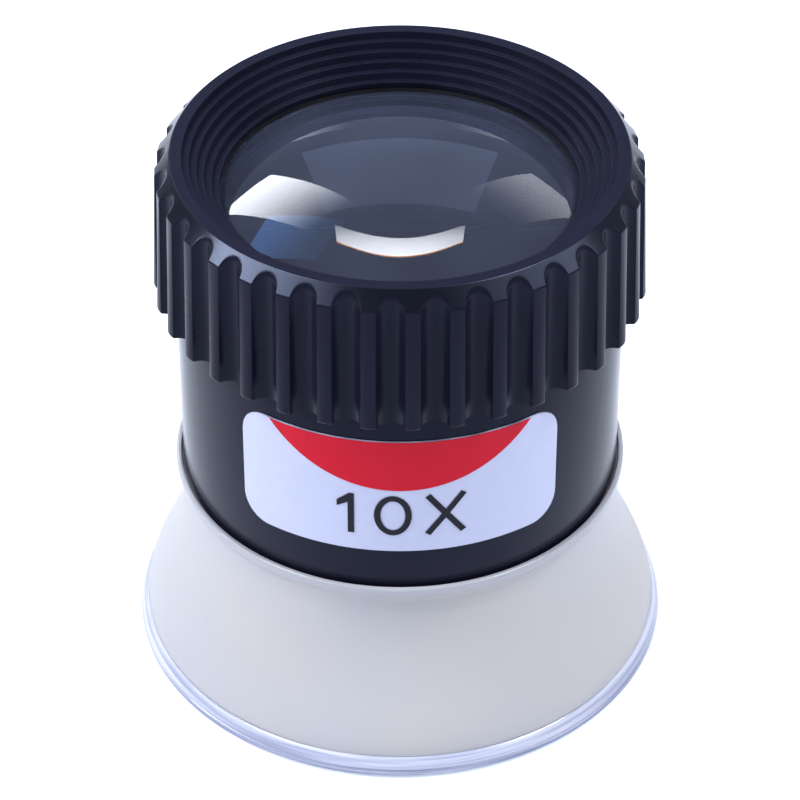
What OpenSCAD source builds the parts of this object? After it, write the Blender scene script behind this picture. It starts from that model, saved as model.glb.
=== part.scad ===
// Stand loupe: a clear flared skirt, a plain black barrel with a label, and a fluted focus ring
// that screws on the barrel and carries a cell with two lenses.
// Origin: centre of the foot, on the surface that the loupe stands on. +Z points to the eye.
// The front, where the label is, faces -Y. The focus ring is drawn screwed right down.

/* [Skirt] */
// Diameter of the foot
foot_d = 48; // [47:0.5:52]
// Height of the polished foot ring
foot_h = 1.9; // [1.5:0.1:2.5]
// Diameter where the skirt meets the foot ring
flare_d = 46.5; // [46:0.1:46.8]
// Diameter of the neck under the lip
neck_d = 38.9; // [38.7:0.1:39.2]
// Wall thickness
skirt_wall = 1.35; // [1.1:0.05:1.4]
// Height of the seat that the barrel stands on
seat_z = 18.0; // [17.6:0.1:18.2]
// Diameter of the lip round the barrel
lip_d = 40.1; // [39.9:0.1:40.6]

/* [Barrel] */
// Diameter of the plain tube
barrel_d = 38.8; // [38.6:0.1:38.8]
// Height of the barrel's top edge
barrel_top = 45.2; // [45:0.1:45.2]
// Diameter of the spigot in the skirt
spigot_d = 35.9; // [35.5:0.1:35.9]
// Bore that the light comes up
light_bore_d = 33.2; // [32:0.2:33.4]
// Bore that the lens cell slides in
cell_bore_d = 34.7; // [34.6:0.1:34.9]

/* [Focus thread] */
// Outside diameter of the barrel's thread
thread_d = 37.9; // [37.6:0.1:37.9]
// Distance from ridge to ridge
thread_pitch = 1.2; // [1:0.1:1.5]
// Height of a ridge
thread_depth = 0.4; // [0.3:0.05:0.45]
// Radial gap between the two threads
thread_gap = 0.1; // [0.08:0.01:0.12]

/* [Focus ring] */
// Diameter over the ribs at the ring's bottom edge
ring_d = 42.6; // [42.4:0.1:43]
// Diameter over the ribs under the top chamfer
ring_top_d = 41.5; // [41.3:0.1:42]
// Height of the ring's bottom edge
ring_bottom = 37.0; // [36.8:0.1:37.2]
// Height of the flat rim, which is the height of the whole loupe
ring_top = 50.3; // [50.3:0.1:51]
// Outside diameter of the flat rim
rim_d = 38.9; // [38:0.1:39.5]
// Inside diameter of the flat rim
rim_inner_d = 36.8; // [36.5:0.1:37]
// Number of grip flutes
flutes = 36; // [30:1:36]
// Depth of a flute at the ring's bottom edge
flute_depth = 1.38; // [1.2:0.01:1.4]
// Radius of the round flute cutter
flute_r = 1.22; // [1.1:0.01:1.3]
// Turn of the flutes from the front
flute_turn = -2.1; // [-5:0.1:5]
// Number of steps in the eyecup
eyecup_steps = 5; // [4:1:6]

/* [Optics] */
// Diameter of both lenses
lens_d = 32; // [31.6:0.1:32]
// Clear diameter in the ring and the cell
clear_d = 30.6; // [30:0.1:30.8]
// Radius of the eye lens's upper face
eye_r1 = 38.5; // [38:0.5:42]
// Radius of the eye lens's lower face
eye_r2 = 115; // [100:5:200]
// Radius of the field lens's upper face
field_r = 72; // [70:1:90]
// Thickness of both lenses at the edge
lens_edge = 1.8; // [1.5:0.1:1.9]

/* [Label] */
// Angle that the label spans
label_angle = 86; // [70:1:90]
// Height of its lower edge
label_z = 22.6; // [21:0.1:24]
// Height of the label
label_h = 11.9; // [11:0.1:13]
// Corner radius
label_corner = 2.2; // [1:0.1:3]
// Thickness
label_t = 0.15; // [0.1:0.05:0.2]

/* [Hidden] */
$fn = 180;

// Gap between a part and the one that is slid or dropped into it
fit_gap = 0.05;
edge_break = 0.3;

// Skirt
foot_r = foot_d / 2;
flare_r = flare_d / 2;
neck_r = neck_d / 2;
lip_r = lip_d / 2;
lip_top = seat_z + 0.6;
lip_bottom = seat_z - 0.2;
neck_z = seat_z - 1.15;
spigot_bottom = seat_z - 3.8;
curve_steps = 28;

// Barrel
barrel_r = barrel_d / 2;
spigot_r = spigot_d / 2;
neck_start = 38.9;
thread_start = neck_start + 0.5;
thread_r = thread_d / 2;
// Side of one ridge: share of the thread's depth, and of its pitch up from the ridge's foot
ridge_side = [[0, 0], [1, 0.3], [1, 0.5], [0, 0.8]];
cell_bore_r = cell_bore_d / 2;
cell_bore_z = 34.5;

// Focus ring
ring_r = ring_d / 2;
flute_floor_r = ring_r - flute_depth;
rim_r = rim_d / 2;
top_chamfer_z = ring_top - 1.5;
rib_edge = 0.35;
ring_thread_r = thread_r + thread_gap;
ring_shoulder = barrel_top + 0.1;
guide_r = barrel_r + 0.07;
// The ring's thread stays above the barrel's shoulder
guide_top = neck_start + 0.1;
flange_z = 46.5;
flange_top = flange_z + 0.5;
// Share of a step's width that its riser leans in by
riser_lean = 0.2;

// Optics
lens_r = lens_d / 2;
clear_r = clear_d / 2;
cell_r = cell_bore_r - 0.25;
cell_top = flange_z - 0.1;
cell_bottom = 36.0;
lip_t = 0.38;
function sag(r, across) = r - sqrt(r * r - across * across);
// The eye lens's upper face stays just under the cell's lip
eye_apex = cell_top - lip_t - 0.02 + sag(eye_r1, clear_r + fit_gap);
eye_edge_top = eye_apex - sag(eye_r1, lens_r);
eye_edge_bottom = eye_edge_top - lens_edge;
eye_bottom = eye_edge_bottom - sag(eye_r2, lens_r);
spacer_h = 3.5;
field_edge_top = eye_edge_bottom - spacer_h;
field_apex = field_edge_top + sag(field_r, lens_r);
field_bottom = field_edge_top - lens_edge;
spacer_inner_r = clear_r - 0.2;
retainer_h = 2;
retainer_inner_r = clear_r - 0.7;
spanner_slot_w = 1.6;
spanner_slot_depth = 0.8;

// Skirt radius at height z: a bell that leaves the neck straight and meets the foot upright
function bell(t) = let (u = pow(t, 1.5)) u * u * (3 - 2 * u);
function skirt_r(z) = neck_r + (flare_r - neck_r) * bell(min(1, (neck_z - z) / (neck_z - foot_h)));

// Points up the side of a thread between heights z0 and z1. The ridges stand out by depth from r
function ridges(r, z0, z1, depth) = [
    for (i = [0 : floor((z1 - z0) / thread_pitch) - 1], p = ridge_side)
        [r + p[0] * depth, z0 + (i + p[1]) * thread_pitch]
];
function reversed(points) = [for (i = [len(points) - 1 : -1 : 0]) points[i]];

module turned(points) {
    rotate_extrude() polygon(points);
}

module clear_skirt() {
    foot_side = [[foot_r - edge_break, 0], [foot_r, edge_break], [foot_r - 0.1, foot_h / 2],
                 [foot_r - 0.55, foot_h - 0.1], [foot_r - 0.65, foot_h]];
    bell_side = [for (i = [0 : curve_steps])
        let (z = foot_h + (neck_z - foot_h) * i / curve_steps) [skirt_r(z), z]];
    lip = [[lip_r, lip_bottom], [lip_r, lip_top - 0.15], [lip_r - 0.15, lip_top],
           [barrel_r + 0.2, lip_top], [barrel_r + 0.2, seat_z]];
    socket = [[spigot_r + fit_gap, seat_z], [spigot_r + fit_gap, spigot_bottom - 0.2]];
    inside = [for (i = [curve_steps : -1 : 0])
        let (z = (spigot_bottom - 0.2) * i / curve_steps) [skirt_r(z) - skirt_wall, z]];
    color("lavender", 0.6)
        turned(concat(foot_side, bell_side, lip, socket, inside));
}

module barrel() {
    tube = [[spigot_r - edge_break, spigot_bottom], [spigot_r, spigot_bottom + edge_break],
            [spigot_r, seat_z], [barrel_r - edge_break, seat_z], [barrel_r, seat_z + edge_break],
            [barrel_r, neck_start - edge_break], [barrel_r - edge_break, neck_start],
            [thread_r - thread_depth, neck_start]];
    thread = ridges(thread_r - thread_depth, thread_start, barrel_top, thread_depth);
    top = [[thread_r - thread_depth, barrel_top], [cell_bore_r + edge_break, barrel_top],
           [cell_bore_r, barrel_top - edge_break]];
    bore = [[cell_bore_r, cell_bore_z], [light_bore_d / 2, cell_bore_z - 0.8],
            [light_bore_d / 2, spigot_bottom]];
    color("black")
        turned(concat(tube, thread, top, bore));
}

module label() {
    width = 2 * barrel_r * sin(label_angle / 2);
    color("white")
        intersection() {
            difference() {
                cylinder(h = barrel_top, r = barrel_r + label_t);
                translate([0, 0, -1]) cylinder(h = barrel_top + 2, r = barrel_r);
            }
            translate([0, 0, label_z + label_h / 2])
                rotate([90, 0, 0])
                    linear_extrude(height = foot_r)
                        rounded_rectangle(width, label_h, label_corner);
        }
}

module rounded_rectangle(w, h, r) {
    square([w - 2 * r, h], center = true);
    square([w, h - 2 * r], center = true);
    for (x = [-1, 1], y = [-1, 1])
        translate([x * (w / 2 - r), y * (h / 2 - r)]) circle(r = r, $fn = 48);
}

module focus_ring() {
    color("black")
        difference() {
            ring_body();
            for (i = [0 : flutes - 1])
                rotate([0, 0, flute_turn + i * 360 / flutes])
                    translate([0, -(flute_floor_r + flute_r), ring_bottom - 1])
                        cylinder(h = ring_top - ring_bottom + 2, r = flute_r, $fn = 48);
        }
}

module ring_body() {
    step_in = (rim_inner_d / 2 - clear_r) / eyecup_steps;
    step_down = (ring_top - flange_top) / eyecup_steps;
    outside = [[guide_r + edge_break, ring_bottom], [ring_r - rib_edge, ring_bottom],
               [ring_r, ring_bottom + rib_edge], [ring_top_d / 2, top_chamfer_z],
               [rim_r, ring_top]];
    // Each step is a steep riser with a narrow tread under it
    eyecup = [for (i = [0 : eyecup_steps - 1], p = [0, 1])
        [rim_inner_d / 2 - (i + riser_lean * p) * step_in, ring_top - (i + p) * step_down]];
    flange = [[clear_r, flange_top], [clear_r, flange_z], [cell_r + 0.1, flange_z],
              [cell_r + 0.1, ring_shoulder]];
    floor_r = ring_thread_r + thread_depth;
    thread = reversed(ridges(floor_r, guide_top + 0.2, ring_shoulder - 0.2, -thread_depth));
    guide = [[floor_r, guide_top], [guide_r, guide_top], [guide_r, ring_bottom + edge_break]];
    turned(concat(outside, eyecup, flange, [[floor_r, ring_shoulder]], thread, guide));
}

module lens_cell() {
    color("dimgray")
        turned([[lens_r + fit_gap, cell_bottom], [cell_r - edge_break, cell_bottom],
                [cell_r, cell_bottom + edge_break], [cell_r, cell_top],
                [clear_r + fit_gap, cell_top], [clear_r + fit_gap, cell_top - lip_t],
                [lens_r + fit_gap, cell_top - lip_t]]);
}

module eye_lens() {
    color("lightcyan", 0.4)
        intersection() {
            translate([0, 0, eye_bottom]) cylinder(h = eye_apex - eye_bottom, r = lens_r);
            translate([0, 0, eye_apex - eye_r1]) sphere(r = eye_r1);
            translate([0, 0, eye_bottom + eye_r2]) sphere(r = eye_r2);
        }
}

module lens_spacer() {
    // Both ends are coned, so that only the edges of the lenses bear on it
    color("dimgray")
        turned([[spacer_inner_r, field_edge_top + edge_break], [lens_r, field_edge_top],
                [lens_r, eye_edge_bottom], [spacer_inner_r, eye_edge_bottom - edge_break]]);
}

module field_lens() {
    color("lightcyan", 0.4)
        intersection() {
            translate([0, 0, field_bottom]) cylinder(h = field_apex - field_bottom, r = lens_r);
            translate([0, 0, field_apex - field_r]) sphere(r = field_r);
        }
}

module lens_retainer() {
    retainer_z = field_bottom - retainer_h;
    color("dimgray")
        difference() {
            turned([[retainer_inner_r, retainer_z], [lens_r, retainer_z],
                    [lens_r, field_bottom], [retainer_inner_r, field_bottom]]);
            translate([-lens_d, -spanner_slot_w / 2, retainer_z - 1])
                cube([2 * lens_d, spanner_slot_w, 1 + spanner_slot_depth]);
        }
}

clear_skirt();
barrel();
label();
lens_cell();
eye_lens();
lens_spacer();
field_lens();
lens_retainer();
focus_ring();
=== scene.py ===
"""Looks for the stand loupe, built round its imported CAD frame. The object's lengths are in millimetres until
finish_mesh() turns them into metres; the stage, lights and camera are in metres."""

import math

import bmesh
import bpy
from mathutils import Matrix, Vector


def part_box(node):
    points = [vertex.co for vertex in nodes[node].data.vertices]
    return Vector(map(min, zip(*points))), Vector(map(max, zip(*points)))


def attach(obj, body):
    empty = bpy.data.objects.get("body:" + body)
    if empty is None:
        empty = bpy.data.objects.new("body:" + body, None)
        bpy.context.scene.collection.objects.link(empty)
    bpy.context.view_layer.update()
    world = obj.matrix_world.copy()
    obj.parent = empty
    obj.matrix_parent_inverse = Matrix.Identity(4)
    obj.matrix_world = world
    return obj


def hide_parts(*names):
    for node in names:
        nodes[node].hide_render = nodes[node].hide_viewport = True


MM = 0.001

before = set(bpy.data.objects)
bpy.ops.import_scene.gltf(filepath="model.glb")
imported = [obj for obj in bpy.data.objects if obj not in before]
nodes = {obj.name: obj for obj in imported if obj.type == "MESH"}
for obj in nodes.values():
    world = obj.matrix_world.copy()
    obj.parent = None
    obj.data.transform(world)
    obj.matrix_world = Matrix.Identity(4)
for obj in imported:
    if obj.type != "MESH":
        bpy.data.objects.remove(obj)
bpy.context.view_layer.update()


def node_box(name):
    """Lowest and highest corner of a CAD node, in millimetres."""
    low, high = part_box(name)
    return low / MM, high / MM


# ---------------------------------------------------------------- sizes, from the frame
skirt_high = node_box("clear_skirt")[1]
barrel_low, barrel_high = node_box("barrel")
ring_low, ring_high = node_box("focus_ring")
label_low, label_high = node_box("label")
eye_low, eye_high = node_box("eye_lens")
field_low, field_high = node_box("field_lens")

FOOT_R = skirt_high.x
LIP_TOP = skirt_high.z
BARREL_R = barrel_high.x
BARREL_TOP = barrel_high.z
SPIGOT_BOTTOM = barrel_low.z
RING_BOTTOM = ring_low.z
RING_TOP = ring_high.z
LENS_R = eye_high.x

# Sizes that the boxes don't show, as in the CAD source
FIT_GAP = 0.05
FOOT_H = 1.9
FLARE_R = 23.25
NECK_R = 19.45
WALL = 1.35
SEAT_Z = LIP_TOP - 0.6
NECK_Z = SEAT_Z - 1.15
LIP_R = 20.05
SPIGOT_R = 17.95
LIGHT_BORE_R = 16.6
CELL_BORE_R = 17.35
CELL_BORE_Z = 34.5
NECK_START = 38.9
THREAD_R = 18.95
THREAD_GAP = 0.1
THREAD_PITCH = 1.2
THREAD_STARTS = 4
THREAD_DEPTH = 0.4
RING_R = 21.3
RING_TOP_R = 20.75
TOP_CHAMFER_Z = RING_TOP - 1.5
RIM_R = 19.45
RIM_INNER_R = 18.4
RIB_EDGE = 0.35
CLEAR_R = 15.3
GUIDE_R = BARREL_R + 0.07
GUIDE_TOP = NECK_START + 0.1
RING_SHOULDER = BARREL_TOP + 0.1
FLUTES = 36
FLUTE_DEPTH = 1.38
FLUTE_CUT_R = 1.22
FLUTE_TURN = math.radians(-2.1)
EYECUP_STEPS = 5
RISER_LEAN = 0.2
FLANGE_Z = 46.5
FLANGE_TOP = FLANGE_Z + 0.5
EYE_R1 = 38.5
EYE_R2 = 115
FIELD_R = 72
LABEL_T = 0.15


# ---------------------------------------------------------------- mesh helpers
def fillet(points, steps=4):
    """Rounds the corners of a closed outline. A point is (r, z) for a sharp corner or (r, z, radius)."""
    most = 0.48  # the share of a side that one corner may use
    out = []
    count = len(points)
    for i, point in enumerate(points):
        here = Vector(point[:2])
        radius = point[2] if len(point) > 2 else 0
        if not radius:
            out.append(tuple(here))
            continue
        back = Vector(points[i - 1][:2]) - here
        ahead = Vector(points[(i + 1) % count][:2]) - here
        half = back.angle(ahead) / 2
        cut = min(radius / math.tan(half), back.length * most, ahead.length * most)
        start = here + back.normalized() * cut
        end = here + ahead.normalized() * cut
        for k in range(steps + 1):
            t = k / steps
            out.append(tuple((1 - t) ** 2 * start + 2 * t * (1 - t) * here + t * t * end))
    return out


def sides(outline):
    """Each point of a closed outline, with the point after it."""
    return zip(outline, outline[1:] + outline[:1])


def split_side(here, ahead, step):
    """Points from here up to ahead, which is left out, no more than step apart."""
    parts = max(1, math.ceil(math.dist(here, ahead) / step))
    return [tuple(a + (b - a) * k / parts for a, b in zip(here, ahead)) for k in range(parts)]


def finish_mesh(name, verts, faces, body, materials, sharp=35):
    """A smooth-shaded mesh object in metres that rides on a body; edges over sharp degrees stay crisp."""
    mesh = bpy.data.meshes.new(name)
    mesh.from_pydata([tuple(c * MM for c in v) for v in verts], [], faces)
    bm = bmesh.new()
    bm.from_mesh(mesh)
    bmesh.ops.remove_doubles(bm, verts=bm.verts, dist=1e-7)
    bmesh.ops.recalc_face_normals(bm, faces=bm.faces)
    for face in bm.faces:
        face.smooth = True
    for edge in bm.edges:
        edge.smooth = len(edge.link_faces) == 2 and edge.calc_face_angle(0) < math.radians(sharp)
    bm.to_mesh(mesh)
    bm.free()
    piece = bpy.data.objects.new(name, mesh)
    bpy.context.scene.collection.objects.link(piece)
    for material in materials:
        mesh.materials.append(material)
    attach(piece, body)
    return piece


def round_angles(count):
    """Angles spaced evenly all the way round."""
    return [2 * math.pi * k / count for k in range(count)]


def revolve(outline, angles, shape=None):
    """Vertices and faces of a closed outline (r, z) turned about Z, where shape(r, z, angle) may change r."""
    verts = []
    for angle in angles:
        for r, z in outline:
            radius = shape(r, z, angle) if shape else r
            verts.append((radius * math.sin(angle), -radius * math.cos(angle), z))
    rows = len(outline)
    faces = []
    for k in range(len(angles)):
        here = k * rows
        ahead = (k + 1) % len(angles) * rows
        for i in range(rows):
            after = (i + 1) % rows
            faces.append((here + i, ahead + i, ahead + after, here + after))
    return verts, faces


def revolve_open(outline, segments=256):
    """As revolve(), for an outline whose first and last points lie on the axis."""
    rows = len(outline) - 2
    verts = [(0, 0, outline[0][1]), (0, 0, outline[-1][1])]
    for angle in round_angles(segments):
        verts += [(r * math.sin(angle), -r * math.cos(angle), z) for r, z in outline[1:-1]]
    faces = []
    for k in range(segments):
        here = 2 + k * rows
        ahead = 2 + (k + 1) % segments * rows
        faces.append((0, here, ahead))
        faces.append((1, ahead + rows - 1, here + rows - 1))
        faces += [(here + i, here + i + 1, ahead + i + 1, ahead + i) for i in range(rows - 1)]
    return verts, faces


# ---------------------------------------------------------------- material helpers
def new_material(name):
    material = bpy.data.materials.new(name)
    material.use_nodes = True
    tree = material.node_tree
    return material, tree, tree.nodes["Principled BSDF"]


def noise(tree, scale, detail):
    coords = tree.nodes.new("ShaderNodeTexCoord")
    node = tree.nodes.new("ShaderNodeTexNoise")
    node.inputs["Scale"].default_value = scale
    node.inputs["Detail"].default_value = detail
    tree.links.new(coords.outputs["Object"], node.inputs["Vector"])
    return node.outputs["Fac"]


def spread(tree, value, low, high):
    """Maps noise, which lies mostly between 0.3 and 0.7, on to low to high."""
    node = tree.nodes.new("ShaderNodeMapRange")
    node.inputs["From Min"].default_value = 0.3
    node.inputs["From Max"].default_value = 0.7
    node.inputs["To Min"].default_value = low
    node.inputs["To Max"].default_value = high
    tree.links.new(value, node.inputs["Value"])
    return node.outputs["Result"]


def bump(tree, shader, height, distance):
    """Gives a shader fine relief from noise. distance is in millimetres."""
    node = tree.nodes.new("ShaderNodeBump")
    node.inputs["Distance"].default_value = distance * MM
    tree.links.new(height, node.inputs["Height"])
    tree.links.new(node.outputs["Normal"], shader.inputs["Normal"])


def tint(tree, value, dark, light):
    """A colour from dark to light as value goes from 0 to 1."""
    # The Mix node has a set of sockets for each data type under the same names, so they go by number
    factor, first, second, result = 0, 6, 7, 2
    node = tree.nodes.new("ShaderNodeMix")
    node.data_type = "RGBA"
    node.inputs[first].default_value = (*dark, 1)
    node.inputs[second].default_value = (*light, 1)
    tree.links.new(value, node.inputs[factor])
    return node.outputs[result]


# ---------------------------------------------------------------- materials
SOFT_BLACK = ((0.005, 0.005, 0.011), (0.009, 0.009, 0.018))
# A darker black for the ring's chamfer: painted shade
PAINTED_SHADE_BLACK = ((0.002, 0.002, 0.003), (0.003, 0.003, 0.005))
GLASS_IOR = 1.52
ACRYLIC_IOR = 1.49


def black_plastic(name, roughness, grain, specular, shades=SOFT_BLACK):
    material, tree, shader = new_material(name)
    cloud = noise(tree, 160, 4)
    tree.links.new(tint(tree, cloud, *shades), shader.inputs["Base Color"])
    tree.links.new(spread(tree, cloud, roughness * 0.85, roughness * 1.15), shader.inputs["Roughness"])
    shader.inputs["Specular IOR Level"].default_value = specular
    shader.inputs["Specular Tint"].default_value = (0.6, 0.7, 1.0, 1)
    bump(tree, shader, noise(tree, grain, 2), 0.004)
    return material


def anodised():
    material, tree, shader = new_material("black_anodised")
    cloud = noise(tree, 300, 3)
    tree.links.new(tint(tree, cloud, (0.01, 0.01, 0.012), (0.022, 0.022, 0.025)), shader.inputs["Base Color"])
    shader.inputs["Metallic"].default_value = 0.4
    tree.links.new(spread(tree, cloud, 0.42, 0.55), shader.inputs["Roughness"])
    bump(tree, shader, noise(tree, 6000, 2), 0.004)
    return material


def lens_glass():
    material, tree, shader = new_material("lens_glass")
    shader.inputs["Base Color"].default_value = (0.56, 0.66, 1.0, 1)
    # A faint bluish haze: a few per cent of the surface scatters light instead of passing it
    tree.links.new(spread(tree, noise(tree, 120, 4), 0.975, 0.96), shader.inputs["Transmission Weight"])
    shader.inputs["IOR"].default_value = GLASS_IOR
    shader.inputs["Roughness"].default_value = 0.0
    return material


def coated_glass():
    """Glass with a coating that takes away its reflections."""
    material, tree, shader = new_material("coated_glass")
    refraction = tree.nodes.new("ShaderNodeBsdfRefraction")
    refraction.inputs["IOR"].default_value = GLASS_IOR
    tree.links.new(tint(tree, noise(tree, 60, 3), (0.86, 0.89, 0.97), (0.9, 0.93, 1.0)),
                   refraction.inputs["Color"])
    tree.nodes.remove(shader)
    tree.links.new(refraction.outputs["BSDF"], tree.nodes["Material Output"].inputs["Surface"])
    return material


def painted_light_and_shade_lines(tree, scale):
    """Noise drawn out level into fine light and dark lines round the loupe, painted highlight and shade lines,
    with painted shade where the foot meets the film.
    """
    coords = tree.nodes.new("ShaderNodeTexCoord")
    stretch = tree.nodes.new("ShaderNodeMapping")
    stretch.inputs["Scale"].default_value = (0.02, 0.02, 1)
    tree.links.new(coords.outputs["Object"], stretch.inputs["Vector"])
    lines = tree.nodes.new("ShaderNodeTexNoise")
    lines.inputs["Scale"].default_value = scale
    lines.inputs["Detail"].default_value = 2
    tree.links.new(stretch.outputs["Vector"], lines.inputs["Vector"])
    split = tree.nodes.new("ShaderNodeSeparateXYZ")
    tree.links.new(coords.outputs["Object"], split.inputs["Vector"])
    # Painted shade along the bottom edge, fading out by 1.2 mm up
    shadow = tree.nodes.new("ShaderNodeMapRange")
    shadow.inputs["From Max"].default_value = 1.2 * MM
    shadow.inputs["To Min"].default_value = -0.25
    shadow.inputs["To Max"].default_value = 0.06
    tree.links.new(split.outputs["Z"], shadow.inputs["Value"])
    total = tree.nodes.new("ShaderNodeMath")
    tree.links.new(lines.outputs["Fac"], total.inputs[0])
    tree.links.new(shadow.outputs["Result"], total.inputs[1])
    return total.outputs["Value"]


def clear_plastic(name, roughness, dark, light, transmission, lines=None):
    """Milky clear plastic. lines is the scale of its painted highlight and shade lines, if it has them."""
    material, tree, shader = new_material(name)
    cloud = noise(tree, 70, 4)
    pattern = painted_light_and_shade_lines(tree, lines) if lines else cloud
    tree.links.new(tint(tree, spread(tree, pattern, 0, 1), dark, light), shader.inputs["Base Color"])
    tree.links.new(spread(tree, cloud, roughness * 0.8, roughness * 1.2), shader.inputs["Roughness"])
    shader.inputs["Transmission Weight"].default_value = transmission
    shader.inputs["IOR"].default_value = ACRYLIC_IOR
    return material


def printed(name, colour):
    """Ink or white film on the label, with a faint fibre."""
    material, tree, shader = new_material(name)
    fibre = noise(tree, 1500, 3)
    tree.links.new(tint(tree, fibre, tuple(0.93 * c for c in colour), colour), shader.inputs["Base Color"])
    shader.inputs["Roughness"].default_value = 0.35
    shader.inputs["Specular IOR Level"].default_value = 0.12
    bump(tree, shader, fibre, 0.003)
    return material


BARREL_BLACK = black_plastic("barrel_black", 0.18, 2500, 0.1)
RING_BLACK = black_plastic("ring_black", 0.3, 9000, 0.1)
# The chamfer's darker base colour is painted shade
CHAMFER_PAINTED_SHADE = black_plastic("ring_chamfer_painted_shade", 0.22, 9000, 0.45, PAINTED_SHADE_BLACK)
CELL_BLACK = anodised()
GLASS = lens_glass()
COATED = coated_glass()
FROSTED = clear_plastic("skirt_frosted", 0.4, (0.505, 0.5, 0.515), (0.55, 0.53, 0.50), 0.3)
# The foot ring: level bands of painted highlight and shade lines, with painted shade along its bottom edge
POLISHED = clear_plastic("skirt_polished_painted_lines", 0.08, (0.27, 0.3, 0.46), (0.8, 0.82, 0.95), 0.4, lines=3200)
# The lip: a glossier plastic than the skirt's, darker in colour as painted shade from the black barrel it
# rings
LIP = clear_plastic("skirt_lip_painted_shade", 0.12, (0.35, 0.35, 0.37), (0.38, 0.38, 0.40), 0.1)
LABEL_WHITE = printed("label_white", (0.47, 0.49, 0.63))
LABEL_RED = printed("label_red", (0.50, 0.001, 0.016))
LABEL_INK = printed("label_ink", (0.008, 0.008, 0.014))


# ---------------------------------------------------------------- skirt
def bell_radius(z):
    """Outer radius of the skirt: it leaves the neck straight and meets the foot ring upright."""
    t = min(1, max(0, (NECK_Z - z) / (NECK_Z - FOOT_H)))
    u = t ** 1.5
    return NECK_R + (FLARE_R - NECK_R) * u * u * (3 - 2 * u)


def make_skirt():
    socket_r = SPIGOT_R + FIT_GAP
    socket_z = SPIGOT_BOTTOM - 0.2
    lip_inner_r = BARREL_R + 0.2
    steps = 48
    # From the bevel at the film: a level seam in the outer face, then a rounded shoulder and a fine
    # crease where the bell starts
    foot = [(FOOT_R - 0.3, 0, 0.1), (FOOT_R, 0.3, 0.25), (FOOT_R - 0.03, 0.8), (FOOT_R - 0.1, 0.87),
            (FOOT_R - 0.07, 0.94), (FOOT_R - 0.16, 1.25, 0.3), (FOOT_R - 0.5, FOOT_H - 0.12, 0.3),
            (FLARE_R + 0.08, FOOT_H, 0.04), (FLARE_R - 0.05, FOOT_H - 0.05)]
    heights = [FOOT_H + (NECK_Z - FOOT_H) * i / steps for i in range(steps + 1)]
    bell = [(bell_radius(z), z) for z in heights]
    lip = [(LIP_R, SEAT_Z - 0.2, 0.1), (LIP_R, LIP_TOP, 0.2), (lip_inner_r, LIP_TOP, 0.1),
           (lip_inner_r, SEAT_Z)]
    socket = [(socket_r, SEAT_Z), (socket_r, socket_z)]
    inside = [(bell_radius(z) - WALL, z) for z in (socket_z * i / steps for i in range(steps, -1, -1))]
    verts, faces = revolve(fillet(foot + bell + lip + socket + inside), round_angles(256))
    skirt = finish_mesh("skirt", verts, faces, "stand", [FROSTED, POLISHED, LIP])
    for face in skirt.data.polygons:
        z = face.center.z / MM
        r = math.hypot(face.center.x, face.center.y) / MM
        # The foot ring takes the plastic with painted highlight and shade lines
        in_foot = z < FOOT_H + 0.02 and r > FLARE_R - 0.1
        # The lip takes the darker plastic, its darkness painted shade
        in_lip = z > SEAT_Z - 0.35
        face.material_index = 1 if in_foot else 2 if in_lip else 0
    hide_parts("clear_skirt")


# ---------------------------------------------------------------- threads
# The length over which a thread fades in or out, and the widths of its ridge as shares of the pitch
RUN_OUT = 0.5
RIDGE_BASE = 0.85
RIDGE_CREST = 0.25


def thread_wave(z, angle):
    """Height of a right-hand thread's ridge, from 0 to 1, at height z: trapezoid ridges on a helix."""
    turn = (z / THREAD_PITCH - THREAD_STARTS * angle / (2 * math.pi)) % 1
    side = abs(turn - 0.5) * 2
    return min(1, max(0, (RIDGE_BASE - side) / (RIDGE_BASE - RIDGE_CREST)))


def thread_strength(z, start, end):
    """Share of its full depth, from 0 to 1, that a thread from start to end has at height z."""
    return min(1, (z - start) / RUN_OUT, (end - z) / RUN_OUT)


# ---------------------------------------------------------------- barrel
def make_barrel():
    root_r = THREAD_R - THREAD_DEPTH
    start = NECK_START + 0.5
    end = BARREL_TOP - 0.4

    def shape(r, z, angle):
        if not (start <= z <= end and abs(r - root_r) < 0.01):
            return r
        return r + THREAD_DEPTH * thread_strength(z, start, end) * thread_wave(z, angle)

    rows = 64
    outline = fillet([
        (SPIGOT_R, SPIGOT_BOTTOM, 0.3), (SPIGOT_R, SEAT_Z), (BARREL_R, SEAT_Z, 0.3),
        (BARREL_R, NECK_START, 0.3), (root_r, NECK_START),
        *[(root_r, start + (end - start) * i / rows) for i in range(rows + 1)],
        (root_r, BARREL_TOP, 0.1), (CELL_BORE_R, BARREL_TOP, 0.3), (CELL_BORE_R, CELL_BORE_Z),
        (LIGHT_BORE_R, CELL_BORE_Z - 0.8), (LIGHT_BORE_R, SPIGOT_BOTTOM, 0.1),
    ])
    verts, faces = revolve(outline, round_angles(288), shape)
    tube = finish_mesh("barrel_tube", verts, faces, "stand", [BARREL_BLACK])
    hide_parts("barrel")


# ---------------------------------------------------------------- focus ring
FLUTE_PITCH = 2 * math.pi / FLUTES
FLUTE_FLOOR_R = RING_R - FLUTE_DEPTH
FLUTE_CENTRE = FLUTE_FLOOR_R + FLUTE_CUT_R
FLUTE_HALF = math.asin(FLUTE_CUT_R / FLUTE_CENTRE)
FLUTE_EDGE = 0.3  # how far the change from flute to rib is rounded


def flute_wall(angle):
    """Radius of the flutes' surface at an angle. On a rib it runs on outwards, clear of the ring."""
    off = abs((angle - FLUTE_TURN + FLUTE_PITCH / 2) % FLUTE_PITCH - FLUTE_PITCH / 2)
    if off >= FLUTE_HALF:
        return FLUTE_CENTRE * (math.cos(FLUTE_HALF) + 0.8 * (off - FLUTE_HALF))
    reach = FLUTE_CUT_R ** 2 - (FLUTE_CENTRE * math.sin(off)) ** 2
    return FLUTE_CENTRE * math.cos(off) - math.sqrt(reach)


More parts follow.
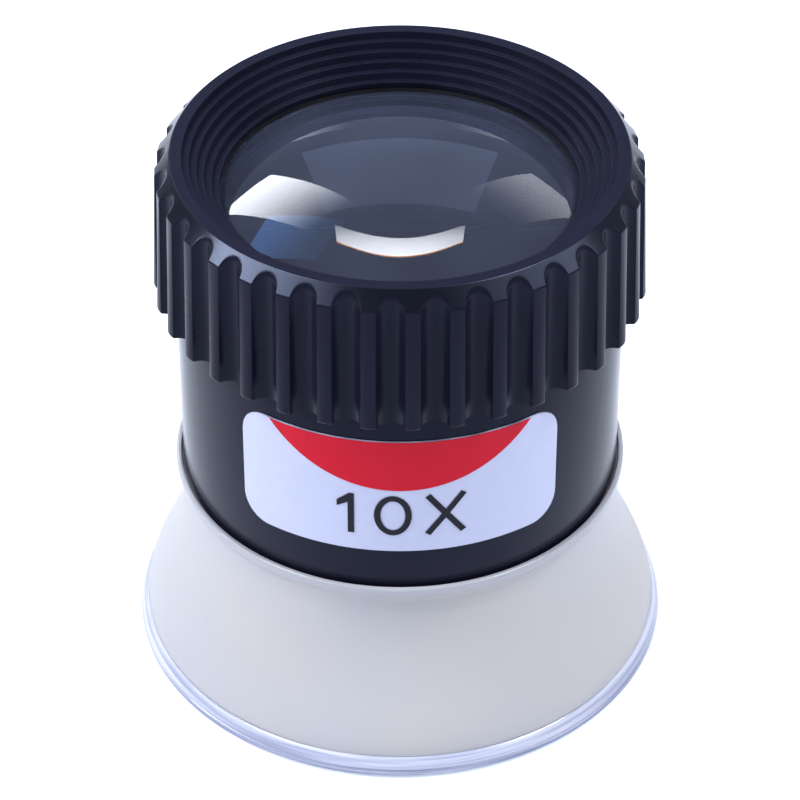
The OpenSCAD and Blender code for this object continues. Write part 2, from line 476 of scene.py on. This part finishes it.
def fluted_angles():
    """Angles round the ring, set close where the walls of the flutes are steep."""
    steps = 14
    across = [FLUTE_CUT_R * math.sin(math.pi * (k / steps - 0.5)) for k in range(steps + 1)]
    groove = [math.asin(x / FLUTE_CENTRE) for x in across]
    rib_width = FLUTE_PITCH - 2 * FLUTE_HALF
    rib = [FLUTE_HALF + rib_width * share for share in (0.05, 0.12, 0.22, 0.36, 0.5, 0.64, 0.78, 0.88, 0.95)]
    return [FLUTE_TURN + i * FLUTE_PITCH + off for i in range(FLUTES) for off in groove + rib]


def soft_min(a, b, k):
    """The smaller of two numbers, with the change from one to the other rounded over k."""
    h = min(1, max(0, 0.5 + 0.5 * (b - a) / k))
    return b + (a - b) * h - k * h * (1 - h)


def make_eyecup():
    """The eyecup's outline, a stair that leads down from the rim to the lens."""
    tread = (RIM_INNER_R - CLEAR_R) / EYECUP_STEPS
    riser = (RING_TOP - FLANGE_TOP) / EYECUP_STEPS
    rounding = 0.06
    stair = []
    for i in range(EYECUP_STEPS):
        edge = RIM_INNER_R - i * tread
        stair.append((edge, RING_TOP - i * riser, rounding))
        stair.append((edge - RISER_LEAN * tread, RING_TOP - (i + 1) * riser, rounding))
    return stair


def make_focus_ring():
    thread_floor = THREAD_R + THREAD_GAP + THREAD_DEPTH
    recess_r = CELL_BORE_R - 0.15
    outside = [(GUIDE_R, RING_BOTTOM, 0.2), (RING_R, RING_BOTTOM, RIB_EDGE),
               (RING_TOP_R, TOP_CHAMFER_Z, 0.3), (RIM_R, RING_TOP, 0.1)]
    eyecup = make_eyecup()
    flange = [(CLEAR_R, FLANGE_TOP, 0.05), (CLEAR_R, FLANGE_Z, 0.05), (recess_r, FLANGE_Z),
              (recess_r, RING_SHOULDER), (thread_floor, RING_SHOULDER)]
    start = GUIDE_TOP + 0.2
    end = RING_SHOULDER - 0.4
    rows = 60
    thread = [(thread_floor, end - (end - start) * i / rows) for i in range(rows + 1)]
    guide = [(thread_floor, GUIDE_TOP), (GUIDE_R, GUIDE_TOP)]

    # Where the outside isn't steep, closer rows let the flutes cut it cleanly
    row_step = 0.12
    outer_rows = fillet(outside + [eyecup[0]])
    outline = []
    for here, ahead in sides(fillet(outside + eyecup + flange + thread + guide)):
        is_steep = abs(here[0] - ahead[0]) <= 0.3 * math.dist(here, ahead)
        outline += [here] if is_steep or here not in outer_rows else split_side(here, ahead, row_step)

    def shape(r, z, angle):
        if r > FLUTE_FLOOR_R - 0.2:
            return soft_min(r, flute_wall(angle), FLUTE_EDGE)
        if start <= z <= end and abs(r - thread_floor) < 0.01:
            return r - THREAD_DEPTH * thread_strength(z, start, end) * (1 - thread_wave(z, angle))
        return r

    verts, faces = revolve(outline, fluted_angles(), shape)
    ring = finish_mesh("grip_ring", verts, faces, "eyepiece",
                       [RING_BLACK, CHAMFER_PAINTED_SHADE], sharp=40)
    # Faces of the top chamfer take the darker black, painted shade
    for face in ring.data.polygons:
        r = math.hypot(face.center.x, face.center.y) / MM
        on_chamfer = 0.5 < face.normal.z < 0.95 and r > RIM_R
        face.material_index = 1 if on_chamfer else 0
    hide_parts("focus_ring")


# ---------------------------------------------------------------- optics
def cap(radius, sphere_r, apex_z, steps, up=True):
    """Points from the axis to the edge of a spherical face with its apex at apex_z."""
    out = []
    for i in range(steps + 1):
        r = radius * math.sin(math.pi / 2 * i / steps)
        drop = sphere_r - math.sqrt(sphere_r ** 2 - r * r)
        out.append((r, apex_z - drop if up else apex_z + drop))
    return out


def make_lens(name, node, low, high, top_r, bottom_r, glass):
    """A lens turned from its two faces and a ground edge with small bevels. Its lower face is flat where
    bottom_r is None, and is coated, as its edge is."""
    bevel = 0.12
    rim = LENS_R - bevel
    top = cap(rim, top_r, high.z, 40)
    flat = [(rim * i / 12, low.z) for i in range(13)]
    bottom = cap(rim, bottom_r, low.z, 40, up=False) if bottom_r else flat
    edge = [(LENS_R, top[-1][1] - bevel), (LENS_R, bottom[-1][1] + bevel)]
    verts, faces = revolve_open(top + edge + bottom[::-1])
    lens = finish_mesh(name, verts, faces, "optics", [glass, COATED], sharp=25)
    for face in lens.data.polygons:
        face.material_index = 0 if face.normal.z > 0.5 else 1
    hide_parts(node)


# ---------------------------------------------------------------- label
LABEL_HALF = math.asin(min(1, label_high.x / BARREL_R)) * BARREL_R
LABEL_CORNER = 2.6
PRINT_T = 0.02
BAND_LIFT = 0.012
INK_LIFT = 0.04


def wrapped(x, z, radius):
    """A point of a flat drawing laid round the barrel: x runs along the surface from the front."""
    angle = x / radius
    return (radius * math.sin(angle), -radius * math.cos(angle), z)


def decal(name, outline, material, lift, thickness=PRINT_T):
    """A thin closed sheet with the given outline (x, z), wrapped round the barrel. lift is the height of its
    underside over the label's face."""
    step = 0.6
    flat = bmesh.new()
    points = [point for here, ahead in sides(outline) for point in split_side(here, ahead, step)]
    face = flat.faces.new([flat.verts.new((x, z, 0)) for x, z in points])
    bmesh.ops.triangulate(flat, faces=[face])
    # Upright cuts let the flat sheet bend smoothly
    cuts = int(2 * max(x for x, _ in points) / step)
    for i in range(-cuts, cuts + 1):
        geometry = flat.verts[:] + flat.edges[:] + flat.faces[:]
        bmesh.ops.bisect_plane(flat, geom=geometry, plane_co=(i * step, 0, 0), plane_no=(1, 0, 0), dist=1e-5)
    radius = BARREL_R + LABEL_T + lift
    lower = [wrapped(v.co.x, v.co.y, radius) for v in flat.verts]
    upper = [wrapped(v.co.x, v.co.y, radius + thickness) for v in flat.verts]
    flat.verts.index_update()
    count = len(lower)
    faces = []
    for face in flat.faces:
        index = [v.index for v in face.verts]
        faces.append(tuple(i + count for i in index))
        faces.append(tuple(reversed(index)))
    for edge in flat.edges:
        if len(edge.link_faces) == 1:
            a, b = (v.index for v in edge.verts)
            faces.append((a, b, b + count, a + count))
    flat.free()
    return finish_mesh(name, lower + upper, faces, "stand", [material], sharp=50)


def rounded_rectangle(half_w, low, high, radius, steps=12):
    corners = [(half_w - radius, high - radius, 0), (-half_w + radius, high - radius, 90),
               (-half_w + radius, low + radius, 180), (half_w - radius, low + radius, 270)]
    return [
        (x + radius * math.cos(math.radians(turn + 90 * k / steps)),
         z + radius * math.sin(math.radians(turn + 90 * k / steps)))
        for x, z, turn in corners for k in range(steps + 1)
    ]


def make_label():
    glue = 0.02
    shape = rounded_rectangle(LABEL_HALF, label_low.z, label_high.z, LABEL_CORNER)
    sheet = decal("label_sheet", shape, LABEL_WHITE, lift=glue - LABEL_T, thickness=LABEL_T - glue)
    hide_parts("label")
    make_band()
    make_marking()


def make_band():
    """A plain red band with a curved lower edge, in the upper middle of the label."""
    half = 11.6
    depth = 5.2
    sweep = (half ** 2 + depth ** 2) / (2 * depth)
    turn = math.asin(half / sweep)
    top = label_high.z - 0.03
    steps = 48
    arc = [(sweep * math.sin(t), top - depth + sweep * (1 - math.cos(t)))
           for t in (turn * (1 - 2 * k / steps) for k in range(steps + 1))]
    decal("label_band", arc, LABEL_RED, BAND_LIFT)


def stroke(start, end, width):
    """Outline of a straight stroke with square ends."""
    along = Vector((end[0] - start[0], end[1] - start[1])).normalized()
    side = Vector((-along.y, along.x)) * width / 2
    return [(start[0] + side.x, start[1] + side.y), (start[0] - side.x, start[1] - side.y),
            (end[0] - side.x, end[1] - side.y), (end[0] + side.x, end[1] + side.y)]


def make_marking():
    """The nominal power, 10X, in plain strokes."""
    height = 4.3
    base = label_low.z + 1.8
    top = base + height
    middle = base + height / 2
    width = 0.55

    # The one, from its foot's right corner: up, then down the flag at its left
    right = -3.9
    flag = right - 1.5
    decal("mark_one", [(right, base), (right, top), (right - 0.4, top), (flag, top - 0.9), (flag, top - 1.55),
                       (right - width, top - 1), (right - width, base)], LABEL_INK, INK_LIFT)

    # The nought is two half rings, so that each is a plain outline
    centre = -0.6
    half_w = 1.6
    for name, side in (("left", -1), ("right", 1)):
        turns = [math.pi / 2 - side * math.pi * k / 24 for k in range(25)]
        outer = [(centre + half_w * math.cos(t), middle + height / 2 * math.sin(t)) for t in turns]
        inner = [(centre + (half_w - width) * math.cos(t), middle + (height / 2 - width) * math.sin(t))
                 for t in reversed(turns)]
        decal("mark_nought_" + name, outer + inner, LABEL_INK, INK_LIFT)

    # The cross is two strokes, one a little over the other
    centre = 3.9
    half_w = 1.55
    for name, side in (("rise", 1), ("fall", -1)):
        start = (centre - side * half_w, base + 0.05)
        end = (centre + side * half_w, top - 0.05)
        decal("mark_cross_" + name, stroke(start, end, width), LABEL_INK, INK_LIFT + 0.005 * side)


# ---------------------------------------------------------------- build
make_skirt()
make_barrel()
make_focus_ring()
make_lens("eye_lens_glass", "eye_lens", eye_low, eye_high, EYE_R1, EYE_R2, GLASS)
make_lens("field_lens_glass", "field_lens", field_low, field_high, FIELD_R, None, COATED)
make_label()
for name in ("lens_cell", "lens_spacer", "lens_retainer"):
    nodes[name].data.materials.clear()
    nodes[name].data.materials.append(CELL_BLACK)


# ---------------------------------------------------------------- stage, lights and camera
AIM = Vector((0, 0, 0.04))
PANEL_REACH = 0.6
BOW_REACH = 0.66
COOL = (0.9, 0.93, 1)


def make_floor():
    half = 0.4
    corners = [(-half, -half, 0), (half, -half, 0), (half, half, 0), (-half, half, 0)]
    mesh = bpy.data.meshes.new("floor")
    mesh.from_pydata(corners, [], [(0, 1, 2, 3)])
    floor = bpy.data.objects.new("floor", mesh)
    floor.location.z = -0.05 * MM
    bpy.context.scene.collection.objects.link(floor)
    material, tree, shader = new_material("floor_white")
    shader.inputs["Base Color"].default_value = (0.54, 0.54, 0.56, 1)
    shader.inputs["Roughness"].default_value = 0.9
    shader.inputs["Specular IOR Level"].default_value = 0.0
    shader.inputs["Emission Color"].default_value = (0.74, 0.83, 1, 1)
    shader.inputs["Emission Strength"].default_value = 0.62
    mesh.materials.append(material)


def direction(bearing, elevation):
    """Unit vector, from angles in degrees. Bearing 0 is behind the loupe and 90 is to its right."""
    turn = math.radians(bearing)
    rise = math.radians(elevation)
    return Vector((math.sin(turn) * math.cos(rise), math.cos(turn) * math.cos(rise), math.sin(rise)))


def panel(name, start, end, height, radiance, colour=COOL, fade=(1, 1)):
    """A soft panel that faces the loupe. start and end are the bearing and elevation of its two ends, and
    fade is the share of its brightness at each."""
    ends = [AIM + direction(*way) * PANEL_REACH for way in (start, end)]
    span = ends[1] - ends[0]
    place = (ends[0] + ends[1]) / 2
    outward = (place - AIM).normalized()
    across = (span - outward * span.dot(outward)).normalized()
    light = bpy.data.lights.new(name, "AREA")
    light.shape = "RECTANGLE"
    light.size = span.length
    light.size_y = height
    light.energy = radiance * math.pi * span.length * height
    light.color = colour
    light.use_nodes = True
    tree = light.node_tree
    spot = tree.nodes.new("ShaderNodeNewGeometry")
    split = tree.nodes.new("ShaderNodeSeparateXYZ")
    tree.links.new(spot.outputs["Parametric"], split.inputs["Vector"])
    ramp = tree.nodes.new("ShaderNodeMapRange")
    ramp.interpolation_type = "SMOOTHSTEP"
    ramp.inputs["To Min"].default_value = fade[0]
    ramp.inputs["To Max"].default_value = fade[1]
    tree.links.new(split.outputs["X"], ramp.inputs["Value"])
    tree.links.new(ramp.outputs["Result"], tree.nodes["Emission"].inputs["Strength"])
    lamp = bpy.data.objects.new(name, light)
    lamp.location = place
    lamp.rotation_euler = Matrix((across, outward.cross(across), outward)).transposed().to_euler()
    bpy.context.scene.collection.objects.link(lamp)


def emitter(name, colour, near, far):
    """A light source whose strength runs from near to far along Y."""
    material, tree, shader = new_material(name)
    tree.nodes.remove(shader)
    coords = tree.nodes.new("ShaderNodeTexCoord")
    split = tree.nodes.new("ShaderNodeSeparateXYZ")
    tree.links.new(coords.outputs["Generated"], split.inputs["Vector"])
    ramp = tree.nodes.new("ShaderNodeMapRange")
    ramp.inputs["To Min"].default_value = near
    ramp.inputs["To Max"].default_value = far
    tree.links.new(split.outputs["Y"], ramp.inputs["Value"])
    glow = tree.nodes.new("ShaderNodeEmission")
    glow.inputs["Color"].default_value = (*colour, 1)
    tree.links.new(ramp.outputs["Result"], glow.inputs["Strength"])
    tree.links.new(glow.outputs["Emission"], tree.nodes["Material Output"].inputs["Surface"])
    return material


def make_bow_light():
    """A bow-shaped strip light overhead, with a narrow warm edge. Its angles are in degrees: rows are the
    tilts back from straight up of its warm edge, the line between the colours, and its far edge."""
    half = 13.3
    bow = 7.1
    rows = (18.1, 18.5, 24.5)
    steps = 24
    across = [half * (2 * k / steps - 1) for k in range(steps + 1)]
    verts = []
    for tilt in rows:
        for side in across:
            back = math.radians(tilt + bow * (side / half) ** 2)
            turn = math.radians(side)
            way = Vector((math.sin(turn), math.sin(back) * math.cos(turn), math.cos(back) * math.cos(turn)))
            verts.append(AIM + BOW_REACH * way)
    count = len(across)
    faces = [(r * count + i, r * count + i + 1, (r + 1) * count + i + 1, (r + 1) * count + i)
             for r in range(len(rows) - 1) for i in range(steps)]
    mesh = bpy.data.meshes.new("bow_light")
    mesh.from_pydata(verts, [], faces)
    mesh.materials.append(emitter("bow_white", (0.88, 0.92, 1), 24, 3))
    mesh.materials.append(emitter("bow_warm", (1, 0.42, 0.12), 12, 12))
    for i, face in enumerate(mesh.polygons):
        face.material_index = 1 if i < steps else 0
    strip = bpy.data.objects.new("bow_light", mesh)
    bpy.context.scene.collection.objects.link(strip)


def make_lights():
    panel("key_left", (-88.1, 56.4), (-129.5, 56.4), 0.24, 22, fade=(1, 0.3))
    panel("key_right", (88.1, 56.4), (129.5, 56.4), 0.24, 29, fade=(1, 0.3))
    panel("wing_left", (-86.5, 23.1), (-147.8, 41.9), 0.14, 17, fade=(1, 0.15))
    panel("wing_right", (86.5, 23.1), (147.8, 41.9), 0.14, 4, fade=(1, 0.2))
    panel("side_left", (-30.2, 28.4), (-22.6, 53.9), 0.126, 15, fade=(1, 0))
    panel("side_left_blue", (-42.7, 43.9), (-30.8, 60), 0.14, 3.2, (0.16, 0.4, 1), fade=(1, 0.15))
    panel("side_right", (30.7, 27.5), (26.2, 45.9), 0.14, 2.8, fade=(1, 0.05))
    panel("back_wall", (-19.1, 37.1), (19.1, 37.1), 0.3, 0.58, (0.5, 0.66, 1))
    panel("back_left", (-16.5, 11.5), (-5.8, 11.5), 0.09, 1.8, fade=(1, 0))
    panel("back_right", (16.5, 11.5), (5.8, 11.5), 0.09, 1.2, fade=(1, 0))
    make_bow_light()
    world = bpy.data.worlds.new("studio")
    world.use_nodes = True
    backdrop = world.node_tree.nodes["Background"]
    backdrop.inputs["Color"].default_value = (0.64, 0.73, 1.0, 1)
    backdrop.inputs["Strength"].default_value = 0.35
    bpy.context.scene.world = world


def make_camera():
    data = bpy.data.cameras.new("camera")
    data.lens = 156.66
    data.sensor_width = 36
    data.clip_start = 0.01
    camera = bpy.data.objects.new("camera", data)
    camera.location = (0, -0.2418, 0.2172)
    camera.rotation_euler = (math.radians(51.28), 0, 0)
    bpy.context.scene.collection.objects.link(camera)
    bpy.context.scene.camera = camera


make_floor()
make_lights()
make_camera()
bpy.context.scene.view_settings.view_transform = "Standard"
